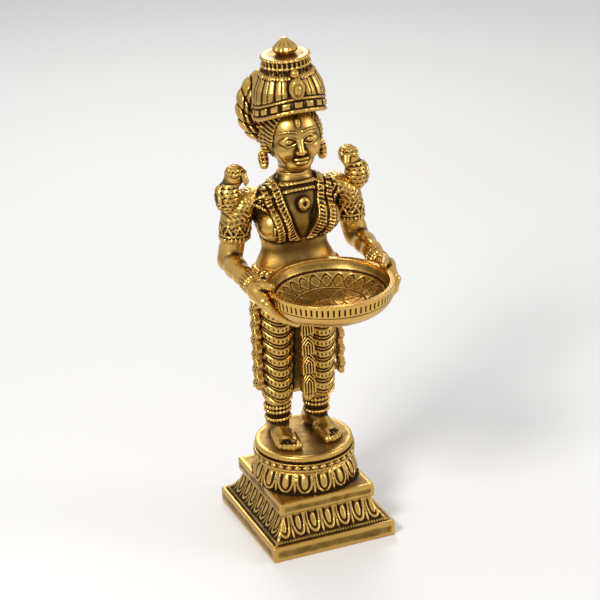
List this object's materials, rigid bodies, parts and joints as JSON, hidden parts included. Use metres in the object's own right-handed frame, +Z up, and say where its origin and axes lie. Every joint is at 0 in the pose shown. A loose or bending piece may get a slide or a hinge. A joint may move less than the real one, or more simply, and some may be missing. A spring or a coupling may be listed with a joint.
{
  "type": "goddess statue",
  "caption": "Cast brass lamp-bearer lady with a crown and shoulder parrots, holding a shallow oil bowl on a stepped lotus plinth.",
  "frame": {"origin": "middle of the flat underside of the lower plinth", "axes": "+Z up through the figure, the figure and the bowl face -Y, +X is the figure's left"},
  "size_m": [0.0944, 0.1324, 0.3052],
  "materials": {
    "polished_brass": "satin, hand polished with dark patina left in the recesses",
    "carved_brass": "carved relief, high points polished, recesses dark brown patina",
    "plinth_brass": "satin with casting pits and softly worn edges",
    "stud_steel": "plain threaded rod"
  },
  "bodies": {
    "root": {"lower_plinth": "plinth_brass", "upper_plinth": "plinth_brass", "standing_disc": "plinth_brass", "tie_stud": "stud_steel", "lower_body": "carved_brass", "front_sash": "carved_brass", "right_side_sash": "carved_brass", "left_side_sash": "carved_brass", "torso": "carved_brass", "right_arm": "polished_brass", "left_arm": "polished_brass", "right_hand": "polished_brass", "left_hand": "polished_brass", "oil_bowl": "polished_brass", "head": "polished_brass", "crown": "carved_brass", "crown_finial": "polished_brass", "hair_bun": "carved_brass", "right_earring": "carved_brass", "left_earring": "carved_brass", "right_parrot": "carved_brass", "left_parrot": "carved_brass"}
  },
  "joints": []
}
